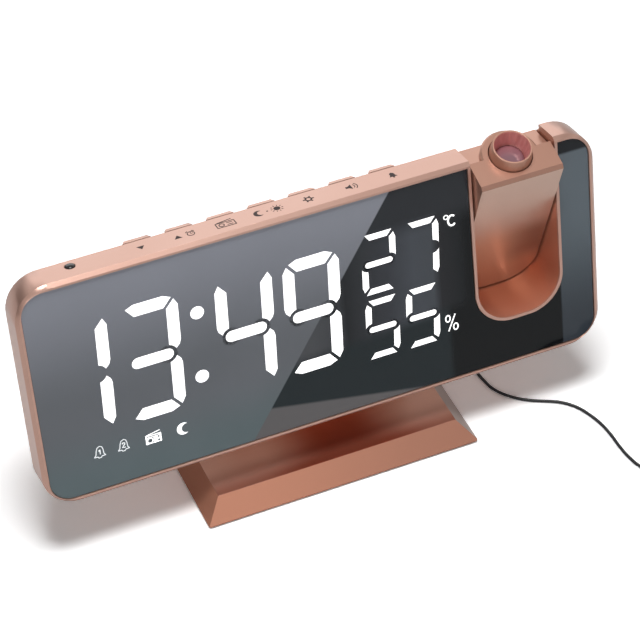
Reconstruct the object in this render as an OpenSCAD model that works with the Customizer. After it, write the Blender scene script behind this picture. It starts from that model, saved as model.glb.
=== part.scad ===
// Projection alarm clock: a wide body with a mirror front leans back on a small foot.
// A see-saw projector arm swings in a U-shaped well at the right of the face.
// Millimetres, +X right, +Y back, +Z up; the origin is the centre of the foot's underside.

/* [Body] */
// Width of the body
body_w = 186; // [180:1:210]
// Height of the body, measured along its face
body_h = 76; // [74:1:86]
// Radius of the body's four corners
body_corner_r = 11; // [9:0.5:13]
// Depth of the front frame
frame_d = 10; // [9.5:0.5:12]
// Angle by which the face leans back
lean = 12.3; // [6:0.1:16]
// Height of the face's lower edge above the table
body_lift = 19.2; // [17:0.1:30]

/* [Front frame] */
// Wall of the front frame
frame_wall = 2.0; // [1.6:0.1:2.4]
// Flat lip in front of the mirror's edge
lip_w = 0.7; // [0.4:0.1:1]
// Chamfer between the lip and the side
chamfer = 1.1; // [0.6:0.1:1.6]
// Corner radius of the mirror's pocket
pocket_r = 7.2; // [5:0.1:9]
// Chamfer round the frame's back edge
back_edge = 0.2; // [0.1:0.1:0.6]
// How far the lip stands proud of the mirror
lip_proud = 0.4; // [0.2:0.1:0.8]
// Width of the ledge that the mirror lies on
ledge_w = 2.6; // [2:0.1:3.5]
// Thickness of that ledge
ledge_t = 1.5; // [1:0.1:2]
// Thickness of the mirror
mirror_t = 1.5; // [1:0.1:2]
// Distance of the housing screws from the sides
screw_inset_x = 7.2; // [6.4:0.1:8]
// Distance of the housing screws from the top and bottom
screw_inset_z = 11; // [10:0.1:14]

/* [Rear cover] */
// Wall of the rear cover
cover_wall = 1.8; // [1.4:0.1:2.2]
// Step from the frame's outside in to the cover's
cover_inset = 0.8; // [0.4:0.1:1.2]
// How much each side tapers in towards the back
cover_taper_side = 7.2; // [4:0.1:8]
// How much the top drops towards the back
cover_taper_top = 13.2; // [12:0.1:14]
// How much the bottom rises towards the back
cover_taper_bottom = 6.2; // [4:0.1:7]

/* [Projector] */
// Distance of the projector's centre from the right side
well_from_right = 27.4; // [26:0.1:30]
// Width of the projector arm
arm_w = 27.3; // [25:0.1:28]
// Gap on each side of the arm
arm_side_gap = 0.45; // [0.4:0.05:0.7]
// Wall of the well
well_wall = 1.5; // [1.2:0.1:2]
// Height of the arm's top above its pivot
arm_top = 17.7; // [16:0.1:19]
// Length of the arm below its pivot
arm_below = 40.2; // [36:0.1:41]
// Depth of the pivot behind the mirror
pivot_y = 9.2; // [9:0.1:9.8]
// Tilt of the arm at rest, with its lens to the front
arm_tilt = 27.2; // [20:0.1:29]
// Radius of the arm's lower corners
arm_tip_r = 10.9; // [9:0.1:12]
// Wall of the arm's two shells
arm_wall = 1.8; // [1.4:0.1:2.2]
// Radius of the pivot pins
pin_r = 1.6; // [1.3:0.05:1.8]
// Inner radius of the lens barrel
barrel_r = 4.4; // [3.6:0.1:4.8]
// Radius of the projection lens
lens_r = 4.6; // [4:0.1:4.8]
// Height of the focus collar above the arm's top
collar_rise = 3.8; // [3:0.1:5]

/* [Keys] */
// Distance of the last key's centre from the projector's centre
key_from_well = 38.4; // [36:0.1:42]
// Spacing of the keys
key_pitch = 13.05; // [12:0.05:13.5]
// Width of a key at its root
key_w = 8.8; // [7:0.1:9.5]
// How far a key stands out behind the frame
key_out = 1.6; // [1.2:0.1:2.5]
// Travel of a key
key_travel = 0.3; // [0.25:0.05:0.5]

/* [Back] */
// Radius of the speaker's cone frame
speaker_r = 14; // [10:0.5:16]
// Radius of the backup coin cell
cell_r = 10; // [8:0.5:10.5]
// Thickness of the coin cell
cell_t = 3.2; // [2:0.1:3.5]
// Width of the recess round the sockets
port_w = 25; // [22:0.5:27]

/* [Stand] */
// Width of the foot
foot_w = 91.4; // [80:0.2:120]
// Depth of the foot
foot_d = 48; // [44:0.5:60]
// How far the foot reaches in front of the mirror's centre
foot_ahead = 18.1; // [16:0.1:20]
// Height of the foot's flat top above the table
foot_h = 7; // [6:0.1:8]
// Height of the upright edge round the foot, above its pad
foot_edge_h = 0.5; // [0.4:0.1:2.5]
// Width of the foot's bevel at the front and back
foot_bevel_y = 5.8; // [4:0.1:7]
// Width of the foot's bevel at the sides
foot_bevel_x = 5.4; // [4:0.1:8]
// Thickness of the pad under the foot
pad_t = 0.5; // [0.4:0.1:1]
// Width of the neck between foot and body
neck_w = 62; // [50:1:70]

/* [Hidden] */
$fn = 64;
hull_fn = 32;
eps = 0.01;      // overlap of solids that are fused
seat = 0.1;      // gap between pieces that seat on each other
far = 300;       // longer than anything that is cut

// Where the face's centre lies above the foot
face_y = foot_ahead - foot_d / 2;
face_z = body_lift + body_h / 2 * cos(lean);

// Front frame, measured outwards from the centre of a corner's arc
half_w = body_w / 2;
half_h = body_h / 2;
rim_r = body_corner_r - lip_w - chamfer;
pocket_w = body_w - 2 * (lip_w + chamfer);
pocket_h = body_h - 2 * (lip_w + chamfer);
ledge_y = mirror_t + seat;
inner_top = half_h - frame_wall;
screw_x = half_w - screw_inset_x;
screw_z = half_h - screw_inset_z;
screw_r = 1.25;
boss_r = 3;
rib_t = 1.4;
screw_grip = 6;
screw_shelf = 3;
screw_head_t = 1.4;
screw_head_r = 2.3;

// Projector well and arm
well_x = half_w - well_from_right;
pivot_z = half_h - arm_top;
arm_ahead = pivot_y + 0.2;
arm_behind = 9.2;
tip_t = 2.8;
heel_z = -9.5;
shoulder_z = 16.1;
shoulder_back_z = 12.3;
face_a_back = 0.5;
arm_bevel = 1;
split_y = 3;
cavity_x = arm_w / 2 + arm_side_gap;
cavity_corner_r = arm_tip_r + arm_side_gap;
swing_r = norm([arm_ahead, arm_below]) + 0.42;
swing_gap = 0.5;
heel_y = arm_behind * cos(arm_tilt) - heel_z * sin(arm_tilt);
tip_y = (tip_t - arm_ahead) * cos(arm_tilt) + arm_below * sin(arm_tilt);
well_back_y = pivot_y + max(heel_y, tip_y) + swing_gap;
well_floor_t = 1.6;
back_wall_top = 13;
well_lip_w = 0.95;
well_lip_bottom = pivot_z - sqrt(pow(swing_r, 2) - pow(pivot_y + lip_proud, 2)) - well_lip_w;
well_body_bottom = pivot_z - swing_r - well_wall;
slot_half = cavity_x + well_wall + 0.15;

// Rear cover
cover_room = 0.4;
cover_back_y = well_back_y + well_floor_t + cover_room + cover_wall;
cover_floor_y = cover_back_y - cover_wall;
cover_edge = 1.4;
cover_half_w = half_w - cover_inset;
cover_half_h = half_h - cover_inset;
cover_r = body_corner_r - cover_inset;
cover_back_top = cover_half_h - cover_taper_top;
cover_back_bottom = -cover_half_h + cover_taper_bottom;

// Lens, collar and light source, along the lens axis from the pivot
barrel_out_r = barrel_r + 0.8;
collar_bore_r = barrel_out_r + 0.08;
collar_r = collar_bore_r + 1.32;
collar_top_r = collar_r - 0.5;
collar_top_wall = 0.5;
collar_shoulder = arm_top + 0.6;
collar_hole_r = collar_r + 0.3;
arm_boss_r = collar_hole_r + 2.3;
boss_bevel = 0.6;
collar_bottom = arm_top - 5.5;
collar_top = arm_top + collar_rise;
lens_seat = arm_top - 2.5;
lens_ledge = 0.5;
lens_edge = 0.5;
lens_rise = 1.4;
barrel_top = lens_seat - lens_ledge - 0.2;
flange_z = -4.6;
flange_t = 1.6;
lcd_t = 1.7;
lamp_z = -12.4;
lamp_board_t = 1.45;
hollow_floor = -14;
post_x = arm_w / 2 - 4.25;
post_zs = [-7, 9];

// Display and electronics
segment_t = 0.8;
reflector_y = ledge_y + segment_t;
board_y = frame_d - 4;
board_t = 1.6;
board_back = board_y + board_t;
board_inset = 13;
board_left = board_inset - half_w;
board_right = well_x - slot_half - 1.4;
board_top = inner_top - 1;
board_bottom = -half_h + 8;
reflector_left = -half_w + 15;
reflector_right = board_right - 0.5;
reflector_half_h = half_h - 10;

// Digits: cell size, thickness and lean of the seven-segment figures
big_digit = [16.4, 39.6, 3.2];
small_digit = [10.6, 20.6, 1.9];
big_digit_xs = [-76.3, -53.9, -24.4, -2.4];
small_digit_xs = [19.6, 34];
small_digit_zs = [13.6, -9.3];
colon_x = -39.2;
colon_zs = [14.5, -7.6];
colon_r = 2.2;
segments_of = ["01100000", "11110010", "01100110", "11110110", "11011010", "11100000",
    "10110110", "10110110"];

// Keys
key_count = 7;
key_back_bevel = [0.3, 1];
key_gap = 0.05;
key_y = frame_d + key_travel + key_gap;
key_top_z = half_h - 0.1;
key_bottom_z = half_h - 5.4;
key_fit = 0.25;
flange_back = frame_d - 0.15;
flange_front = flange_back - 0.75;
switch_top = flange_front - key_travel - key_gap;
switch_z = half_h - 4.6;
switch_half = 2.1;

// Back of the clock
speaker_inset = 45;
speaker_x = speaker_inset - half_w;
speaker_z = -6;
grille_pitch = 3;
grille_w = 1.4;
vent_pitch = 2.6;
vent_size = [8, 1.1];
port_to_well = 33.1;
port_x = well_x - port_to_well;
battery_to_port = 27.5;
battery_x = port_x - battery_to_port;
battery_z = -2;
door_r = cell_r + 2.4;
door_t = 1.6;
cup_r = door_r + 1.6;
cell_gap = 0.4;
port_top = 12;
port_bottom = -17;
port_depth = 4;
port_floor_y = cover_back_y - port_depth;
usb_at = [port_x + 0.5, 5];
usb_size = [13.2, 5.8];
dc_at = [port_x + 0.5, -8];
dc_size = [9, 11];
dc_wall = 2;
dc_bore_r = 1.75;
dc_pin_r = 0.65;
grommet_x = 52;
grommet_z = -27;
grommet_r = 2.4;
grommet_end = cover_back_y + 5;
stand_screw_x = 20;
stand_screw_z = -25.5;

// Stand
neck_front_y = face_y + 5.5;
neck_back_y = foot_d / 2 - 1.4;
neck_top_z = -21;
neck_flange_t = 2.4;
stand_web = 1.4;
foot_corner_r = 0.8;

// Antenna wire: thickness, route on the table, and the coil that it ends in
wire_d = 1;
wire_route = [[52, 18.7, 23.3], [52, 21.5, 22.6], [52.2, 24.1, 21.2], [52.5, 26.2, 18.9],
    [52.9, 27.6, 16], [53.3, 28.3, 12.7], [53.7, 28.4, 9.3], [54.1, 27.9, 6], [54.6, 26.6, 3.2],
    [55.2, 24.4, 1.4], [56, 21.3, 0.6], [56.9, 17.5, 0.5], [57.7, 13, 0.5], [58.4, 8, 0.5],
    [58.9, 3, 0.5], [59.4, -1, 0.5], [60.1, -4.5, 0.5], [61.6, -7.6, 0.5], [63.7, -10.3, 0.5],
    [66.1, -12.6, 0.5], [68.8, -14.5, 0.5], [71.6, -16.1, 0.5], [74.4, -17.5, 0.5],
    [77.2, -19.2, 0.5], [79.6, -21.4, 0.5], [81.7, -24.3, 0.5], [83.3, -28, 0.5],
    [84.6, -32.4, 0.5], [85.3, -37.8, 0.5], [85.4, -43.8, 0.5], [85.9, -49.4, 0.5],
    [87.4, -54.6, 0.5], [90.5, -58.8, 0.5], [95, -61.5, 0.5], [100.8, -62.7, 0.5],
    [107, -63, 0.5], [113, -63, 0.5]];
wire_steps = 2;
coil_turn_r = 5.5;
coil_half = 3;
coil_h = 5;
coil_at = [113, -54];

// Frames: the face, leaning back, and the arm at rest
module at_face() translate([0, face_y, face_z]) rotate([-lean, 0, 0]) children();
module at_arm() at_face() translate([well_x, pivot_y, pivot_z]) rotate([arm_tilt, 0, 0]) children();

// Height and depth, in the part's own frame, of a point (depth y, height z) of the face
function row_y(y, z) = face_y + y * cos(lean) + z * sin(lean);
function row_z(y, z) = face_z - y * sin(lean) + z * cos(lean);

// A flat outline in the face's plane, made into a plate of depth d that starts at depth y
module plate(y, d) translate([0, y + d, 0]) rotate([90, 0, 0]) linear_extrude(d) children();

// A side view (depth, height), extruded across the width from x0 to x1
module across(x0, x1) translate([x0, 0, 0]) rotate([90, 0, 90]) linear_extrude(x1 - x0) children();

// A round bar along the depth
module bar(x, z, y, d, r, r2 = 0)
    translate([x, y + d, z]) rotate([90, 0, 0]) cylinder(h = d, r2 = r, r1 = r2 > 0 ? r2 : r);

// A block given by its lowest and highest corners
module block(lo, hi) translate(lo) cube(hi - lo);

module rounded_rect(w, h, r) {
    square([w - 2 * r, h], center = true);
    square([w, h - 2 * r], center = true);
    for (sx = [-1, 1], sz = [-1, 1])
        translate([sx * (w / 2 - r), sz * (h / 2 - r)]) circle(r);
}

// A U: straight sides, an open top at a given height and a bottom with round corners
module u_shape(half, top, bottom, r) {
    translate([-half, bottom + r]) square([2 * half, top - bottom - r]);
    translate([r - half, bottom]) square([2 * (half - r), top - bottom]);
    for (s = [-1, 1]) translate([s * (half - r), bottom + r]) circle(r);
}

module slot(w, h) {
    square([w - h, h], center = true);
    for (s = [-1, 1]) translate([s * (w - h) / 2, 0]) circle(h / 2);
}

// A profile (distance from the centre of the corner arcs, depth) swept round a rounded rectangle
module rim(w, h, r, profile) {
    for (side = [[0, w, h], [-90, h, w], [180, w, h], [90, h, w]])
        rotate([0, side[0], 0]) translate([side[1] / 2 - r, 0, 0]) {
            translate([0, 0, r - side[2] / 2]) linear_extrude(side[2] - 2 * r) polygon(profile);
            translate([0, 0, side[2] / 2 - r]) rotate([90, 0, 0])
                rotate_extrude(angle = 90) polygon([for (p = profile) [p[0], -p[1]]]);
        }
}

// ---- Front ----

frame_profile = [[body_corner_r - back_edge, frame_d], [body_corner_r, frame_d - back_edge],
    [body_corner_r, chamfer - lip_proud], [body_corner_r - chamfer, -lip_proud],
    [rim_r - ledge_w, -lip_proud], [rim_r - ledge_w, ledge_y + ledge_t],
    [body_corner_r - frame_wall, ledge_y + ledge_t], [body_corner_r - frame_wall, frame_d]];
sensor_x = -half_w + 20.1;
sensor_y = 6.6;
sensor_r = 1.7;

module front_frame() color([0.86, 0.66, 0.59]) at_face() difference() {
    union() {
        rim(body_w, body_h, body_corner_r, frame_profile);
        for (sx = [-1, 1], sz = [-1, 1]) {
            bar(sx * screw_x, sz * screw_z, ledge_y, frame_d - ledge_y - seat, boss_r);
            translate([sx * (screw_x + screw_inset_x / 2 - frame_wall / 4), 0, sz * screw_z])
                block([-screw_inset_x / 2 + frame_wall / 4, ledge_y, -rib_t / 2],
                    [screw_inset_x / 2 - frame_wall / 4, frame_d - 2, rib_t / 2]);
        }
    }
    plate(-far, far + ledge_y) rounded_rect(pocket_w, pocket_h, pocket_r);
    for (sx = [-1, 1], sz = [-1, 1])
        bar(sx * screw_x, sz * screw_z, 3.5, frame_d, screw_r);
    block([well_x - cavity_x, -far, inner_top - 1], [well_x + cavity_x, far, far]);
    block([well_x - slot_half, ledge_y - eps, 0], [well_x + slot_half, far, inner_top]);
    translate([sensor_x, sensor_y, inner_top - 1]) cylinder(h = far, r = sensor_r);
}

mirror_gap = 0.15;

module mirror_panel() color([0.2, 0.22, 0.24]) at_face() plate(0, mirror_t) difference() {
    rounded_rect(pocket_w - 2 * mirror_gap, pocket_h - 2 * mirror_gap, pocket_r - mirror_gap);
    translate([well_x, 0]) u_shape(cavity_x + well_lip_w + mirror_gap, half_h,
        well_lip_bottom - mirror_gap, cavity_corner_r + well_lip_w + mirror_gap);
}

// One bar of a figure, with pointed ends, lying along x
module segment(len, t) polygon([[-len / 2, 0], [t / 2 - len / 2, t / 2], [len / 2 - t / 2, t / 2],
    [len / 2, 0], [len / 2 - t / 2, -t / 2], [t / 2 - len / 2, -t / 2]]);

// A seven-segment figure: cell is [width, height, bar], lit lists the bars a to g
module figure(cell, lit) {
    w = cell[0] - cell[2];
    h = (cell[1] - cell[2]) / 2;
    places = [[0, h, 0], [w / 2, h / 2, 90], [w / 2, -h / 2, 90], [0, -h, 0],
        [-w / 2, -h / 2, 90], [-w / 2, h / 2, 90], [0, 0, 0]];
    for (i = [0:6]) if (lit[i] == "1")
        translate([places[i][0], places[i][1]]) rotate(places[i][2])
            segment((places[i][2] == 0 ? w : h) - 0.5, cell[2]);
}

module display_segments() color("white") at_face() plate(ledge_y, segment_t - seat) {
    for (i = [0:3]) translate([big_digit_xs[i], 4]) figure(big_digit, segments_of[i]);
    for (i = [0:3]) translate([small_digit_xs[i % 2], small_digit_zs[floor(i / 2)]])
        figure(small_digit, segments_of[4 + i]);
    for (z = colon_zs) translate([colon_x, z]) circle(colon_r);
}

module display_reflector() color([0.92, 0.92, 0.9]) at_face()
    block([reflector_left, reflector_y, -reflector_half_h],
        [reflector_right, board_y - seat, reflector_half_h]);

// ---- Electronics ----

module main_board() color([0.1, 0.35, 0.2]) at_face()
    block([board_left, board_y, board_bottom], [board_right, board_back, board_top]);

module tact_switches() color([0.15, 0.15, 0.16]) at_face()
    for (i = [0:key_count - 1]) translate([key_x(i), 0, switch_z]) {
        block([-switch_half, board_back, -switch_half],
            [switch_half, switch_top - 0.35, switch_half]);
        bar(0, 0, switch_top - 0.35 - eps, 0.35 + eps, 1.1);
    }

module light_sensor() color([0.25, 0.1, 0.1]) at_face() translate([sensor_x, sensor_y, 0]) {
    translate([0, 0, inner_top - seat - eps]) cylinder(h = frame_wall + eps, r = sensor_r - seat);
    translate([0, 0, board_top + 0.05]) cylinder(h = inner_top - seat - board_top - 0.05, r = 2.2);
}

climate_x = board_left + 5;
climate_z = board_bottom + 6;

module climate_sensor() color([0.9, 0.9, 0.88]) at_face()
    block([climate_x - 2, board_back + 0.05, climate_z - 2],
        [climate_x + 2, board_back + 1.4, climate_z + 2]);

speaker_t = 4.9;

module speaker() color([0.12, 0.12, 0.13]) at_face() difference() {
    union() {
        bar(speaker_x, speaker_z, cover_floor_y - seat - speaker_t, speaker_t, speaker_r);
        bar(speaker_x, speaker_z, cover_floor_y - seat - speaker_t - 2.6, 2.7, speaker_r * 0.55);
    }
    bar(speaker_x, speaker_z, cover_floor_y - seat - 1.5, 2, speaker_r - 1.2);
}

// ---- Rear cover ----

// Side view of the cover, inset by t
function cover_side(t) = [[frame_d - t, cover_half_h - t],
    [cover_back_y - cover_edge, cover_back_top + cover_edge * 0.9 - t],
    [cover_back_y - t, cover_back_top - t], [cover_back_y - t, cover_back_bottom + t],
    [cover_back_y - cover_edge, cover_back_bottom - cover_edge * 0.7 + t],
    [frame_d - t, t - cover_half_h]];

// A thin rounded slice of the cover at depth y, from its half width, bottom and top
module cover_slice(y, half, bottom, top, r)
    translate([0, 0, (top + bottom) / 2]) plate(y, eps)
        rounded_rect(2 * half, top - bottom, r, $fn = hull_fn);

// The cover's outer form, or with t > 0 the room inside a wall of that thickness
module cover_form(t) hull() {
    side = cover_side(t);
    back_half = cover_half_w - cover_taper_side - t;
    cover_slice(side[0][0], cover_half_w - t, side[5][1], side[0][1], cover_r - t);
    cover_slice(side[1][0] - t, back_half + cover_edge * 0.85, side[4][1], side[1][1], cover_r - t);
    cover_slice(side[2][0] - eps, back_half, side[3][1], side[2][1], cover_r - t - 1);
}

function chord(r, z) = 2 * sqrt(pow(r, 2) - pow(z, 2));

module grille_slots() for (i = [-3:3])
    translate([speaker_x, speaker_z + i * grille_pitch])
        slot(chord(speaker_r - 2, i * grille_pitch), grille_w);

module vent_slots() for (i = [0:3])
    translate([climate_x - 2 + i * vent_pitch, climate_z + 3]) rotate(90)
        slot(vent_size[0], vent_size[1]);

module port_outline(grow) translate([port_x - port_w / 2 - grow, port_bottom - grow])
    square([port_w + 2 * grow, port_top - port_bottom + 2 * grow]);

key_rail_t = 1.5;

module rear_cover() color([0.8, 0.6, 0.52]) at_face() difference() {
    union() {
        difference() {
            cover_form(0);
            cover_form(cover_wall);
        }
        intersection() {
            cover_form(0);
            union() {
                for (sx = [-1, 1], sz = [-1, 1])
                    bar(sx * screw_x, sz * screw_z, frame_d + eps, far, boss_r + 1);
                for (sx = [-1, 1])
                    bar(sx * stand_screw_x, stand_screw_z, cover_back_y - 8, 8, boss_r);
                bar(battery_x, battery_z, cover_floor_y - cell_t - 1.8 - cell_gap,
                    cell_t + 1.8 + cell_gap + eps, cup_r);
                plate(port_floor_y - cover_wall, port_depth + cover_wall)
                    port_outline(cover_wall);
                block([key_x(0) - key_w, frame_d, key_bottom_z - 3],
                    [key_x(key_count - 1) + key_w, frame_d + key_rail_t, half_h - 3]);
            }
        }
    }
    for (sx = [-1, 1], sz = [-1, 1]) {
        bar(sx * screw_x, sz * screw_z, frame_d - 1, far, screw_r + 0.15);
        bar(sx * screw_x, sz * screw_z, frame_d + screw_shelf, far, screw_head_r + 0.3);
    }
    for (sx = [-1, 1])
        bar(sx * stand_screw_x, stand_screw_z, cover_back_y - screw_grip - 0.5, far, screw_r);
    bar(battery_x, battery_z, cover_floor_y - cell_t - cell_gap, far, cell_r + 0.4);
    bar(battery_x, battery_z, cover_floor_y - 0.05, far, door_r + 0.3);
    plate(port_floor_y, far) port_outline(0);
    plate(port_floor_y - far / 2, far) {
        translate(usb_at) square(usb_size + [0.3, 0.3], center = true);
        translate(dc_at) square(dc_size + [0.3, 0.3], center = true);
    }
    bar(grommet_x, grommet_z, frame_d, far, grommet_r + 0.05);
    block([well_x - slot_half, frame_d - 1, back_wall_top], [well_x + slot_half, far, far]);
    for (i = [0:key_count - 1])
        block([key_x(i) - key_w / 2 - key_fit, frame_d - 1, key_bottom_z - key_fit],
            [key_x(i) + key_w / 2 + key_fit, key_y + key_out + key_fit, far]);
    plate(cover_floor_y - eps, far) {
        grille_slots();
        vent_slots();
    }
}

module housing_screws() color([0.3, 0.3, 0.32]) at_face() for (sx = [-1, 1], sz = [-1, 1]) {
    bar(sx * screw_x, sz * screw_z, frame_d - screw_grip, screw_grip + screw_shelf + eps, screw_r);
    bar(sx * screw_x, sz * screw_z, frame_d + screw_shelf, screw_head_t, screw_head_r);
}

module battery_contacts() color([0.8, 0.75, 0.55]) at_face() difference() {
    bar(battery_x, battery_z, cover_floor_y - cell_t - cell_gap + 0.05, 0.4, cell_r);
    bar(battery_x, battery_z, cover_floor_y - cell_t - cell_gap - cell_t, 2 * cell_t, cell_r / 2);
}

module coin_cell() color([0.75, 0.75, 0.74]) at_face()
    bar(battery_x, battery_z, cover_floor_y - cell_t - cell_gap + 0.5, cell_t - 0.2, cell_r);

module battery_door() color([0.78, 0.58, 0.5]) at_face() difference() {
    bar(battery_x, battery_z, cover_back_y - door_t, door_t, door_r);
    block([battery_x - 6, cover_back_y - 0.9, battery_z - 1],
        [battery_x + 6, far, battery_z + 1]);
}

module usb_socket() color([0.7, 0.7, 0.72]) at_face() plate(board_back + seat,
        port_floor_y - seat - board_back) translate(usb_at) difference() {
    square(usb_size, center = true);
    square(usb_size - [1.4, 1.4], center = true);
}

module dc_socket() color([0.1, 0.1, 0.1]) at_face() {
    difference() {
        plate(board_back + seat, port_floor_y - seat - board_back) translate(dc_at)
            square(dc_size, center = true);
        bar(dc_at[0], dc_at[1], board_back + dc_wall, far, dc_bore_r);
    }
    bar(dc_at[0], dc_at[1], board_back + dc_wall - eps, port_floor_y - board_back - dc_wall - 1,
        dc_pin_r);
}

// ---- Projector ----

module well_cavity() {
    intersection() {
        translate([0, pivot_y, pivot_z]) rotate([0, 90, 0]) rotate_extrude() {
            translate([0, -cavity_x]) square([swing_r - cavity_corner_r, 2 * cavity_x]);
            translate([0, cavity_corner_r - cavity_x])
                square([swing_r, 2 * (cavity_x - cavity_corner_r)]);
            for (s = [-1, 1])
                translate([swing_r - cavity_corner_r, s * (cavity_x - cavity_corner_r)])
                    intersection() {
                        circle(cavity_corner_r);
                        translate([-eps, -far]) square([far, 2 * far]);
                    }
        }
        block([-far, -far, -far], [far, well_back_y, back_wall_top]);
    }
    block([-cavity_x, -far, back_wall_top - eps], [cavity_x, far, far]);
}

module projector_well() color([0.75, 0.45, 0.33]) at_face() translate([well_x, 0, 0]) difference() {
    union() {
        plate(-lip_proud, ledge_y + lip_proud + eps) u_shape(cavity_x + well_lip_w,
            half_h - lip_w - chamfer, well_lip_bottom, cavity_corner_r + well_lip_w);
        intersection() {
            plate(ledge_y, well_back_y + well_floor_t - ledge_y) u_shape(cavity_x + well_wall,
                half_h, well_body_bottom, cavity_corner_r + well_wall);
            across(-far / 2, far / 2) polygon([[0, inner_top - seat],
                [frame_d + cover_inset, inner_top - seat], cover_side(0)[1],
                [cover_floor_y, cover_back_top], [cover_floor_y, -half_h], [0, -half_h]]);
        }
    }
    well_cavity();
    translate([-far / 2, pivot_y, pivot_z]) rotate([0, 90, 0]) cylinder(h = far, r = pin_r);
}

pin_in = 1.45;   // length of a pin inside the arm's cheek

module pivot_pins() color([0.7, 0.7, 0.72]) at_face() translate([well_x, pivot_y, pivot_z])
    for (s = [0, 180]) rotate([0, 90 + s, 0]) translate([0, 0, arm_w / 2 - pin_in])
        cylinder(h = pin_in + arm_side_gap + well_wall - seat, r = pin_r);

module pivot_washers() color([0.85, 0.85, 0.83]) at_face() translate([well_x, pivot_y, pivot_z])
    for (s = [0, 180]) rotate([0, 90 + s, 0]) translate([0, 0, arm_w / 2 + 0.05]) difference() {
        cylinder(h = arm_side_gap - seat, r = 2 * pin_r);
        translate([0, 0, -arm_w / 4]) cylinder(h = arm_w / 2, r = pin_r + 0.15);
    }

// Side view of the arm: tongue, flat top and shoulder
arm_side = [[-arm_ahead, -arm_below], [-arm_ahead, arm_top - arm_bevel],
    [arm_bevel - arm_ahead, arm_top], [face_a_back, arm_top], [face_a_back, shoulder_z],
    [arm_behind, shoulder_back_z], [arm_behind, heel_z], [tip_t - arm_ahead, -arm_below]];

// Side view of the room inside the arm's head
arm_room = [[arm_wall - arm_ahead, hollow_floor], [arm_behind - 4.4, hollow_floor],
    [arm_behind - arm_wall, heel_z + 0.4], [arm_behind - arm_wall, shoulder_back_z - 1.3],
    [face_a_back, shoulder_z - 1.9], [face_a_back - 1.8, arm_top - arm_wall],
    [arm_wall - arm_ahead, arm_top - arm_wall]];

module arm_form() difference() {
    union() {
        intersection() {
            across(-arm_w / 2, arm_w / 2) polygon(arm_side);
            plate(-arm_ahead - 1, arm_ahead + arm_behind + 2)
                u_shape(arm_w / 2, arm_top, -arm_below, arm_tip_r);
        }
        translate([0, 0, collar_bottom]) cylinder(h = arm_top - boss_bevel - collar_bottom, r = arm_boss_r);
        translate([0, 0, arm_top - boss_bevel - eps])
            cylinder(h = boss_bevel + eps, r1 = arm_boss_r, r2 = arm_boss_r - boss_bevel);
    }
    difference() {
        across(arm_wall - arm_w / 2, arm_w / 2 - arm_wall) polygon(arm_room);
        for (s = [-1, 1], z = post_zs) bar(s * post_x, z, -far / 2, far, 2.2);
    }
    translate([0, 0, collar_bottom - seat]) cylinder(h = far, r = collar_hole_r);
    cylinder(h = arm_top, r = barrel_out_r + 0.2);
    translate([-far / 2, 0, 0]) rotate([0, 90, 0]) cylinder(h = far, r = pin_r + 0.05);
}

module projector_arm_front() color([0.8, 0.62, 0.53]) at_arm() difference() {
    intersection() {
        arm_form();
        block([-far, -far, -far], [far, split_y, far]);
    }
    for (s = [-1, 1], z = post_zs) bar(s * post_x, z, split_y - 6, 7, 1.1);
}

module projector_arm_back() color([0.78, 0.6, 0.51]) at_arm() difference() {
    intersection() {
        arm_form();
        block([-far, split_y, -far], [far, far, far]);
    }
    for (s = [-1, 1], z = post_zs) {
        bar(s * post_x, z, split_y - 1, far, 1.25);
        bar(s * post_x, z, arm_behind - 2.2, far, 2);
    }
}

module arm_screws() color([0.3, 0.3, 0.32]) at_arm() for (s = [-1, 1], z = post_zs) {
    bar(s * post_x, z, split_y - 5.5, arm_behind - 2.2 - split_y + 5.5 + eps, 1.1);
    bar(s * post_x, z, arm_behind - 2.2, 1.3, 1.85);
}

module lens_barrel() color([0.12, 0.12, 0.13]) at_arm() difference() {
    union() {
        translate([0, 0, flange_z]) cylinder(h = barrel_top - flange_z, r = barrel_out_r);
        block([arm_wall + seat - arm_w / 2, arm_wall + seat - arm_ahead, flange_z],
            [arm_w / 2 - arm_wall - seat, arm_behind - arm_wall - seat, flange_z + flange_t]);
    }
    translate([0, 0, flange_z - 1]) cylinder(h = far, r = barrel_r);
}

module focus_collar() color([0.83, 0.64, 0.56]) at_arm() rotate_extrude()
    polygon([[collar_bore_r, collar_bottom], [collar_r, collar_bottom], [collar_r, collar_shoulder],
        [collar_top_r, collar_top], [collar_top_r - collar_top_wall, collar_top],
        [lens_r + 0.05, lens_seat + lens_edge],
        [lens_r + 0.05, lens_seat], [lens_r - 0.6, lens_seat],
        [lens_r - 0.6, lens_seat - lens_ledge], [collar_bore_r, lens_seat - lens_ledge]]);

lens_sphere_r = (pow(lens_r, 2) + pow(lens_rise - lens_edge, 2)) / (2 * (lens_rise - lens_edge));

module projection_lens() color([0.55, 0.35, 0.38]) at_arm() translate([0, 0, lens_seat + 0.05])
    intersection() {
        cylinder(h = lens_rise, r = lens_r);
        translate([0, 0, lens_rise - lens_sphere_r]) sphere(lens_sphere_r);
    }

module projector_lcd() color([0.3, 0.32, 0.35]) at_arm()
    block([-6.5, -6.5, flange_z - seat - lcd_t], [6.5, 6.5, flange_z - seat]);

module projector_lamp() color([0.85, 0.2, 0.15]) at_arm() difference() {
    translate([0, 0, lamp_z]) cylinder(h = flange_z - lcd_t - 2 * seat - lamp_z, r = 5);
    translate([0, 0, lamp_z + 1.5]) cylinder(h = far, r1 = 2, r2 = 2 + far * 0.4);
}

module projector_lamp_board() color([0.1, 0.35, 0.2]) at_arm()
    block([-6.5, -6.5, lamp_z - 0.05 - lamp_board_t], [6.5, 4.5, lamp_z - 0.05]);

// ---- Keys ----

function key_x(i) = well_x - key_from_well - (key_count - 1 - i) * key_pitch;

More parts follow.
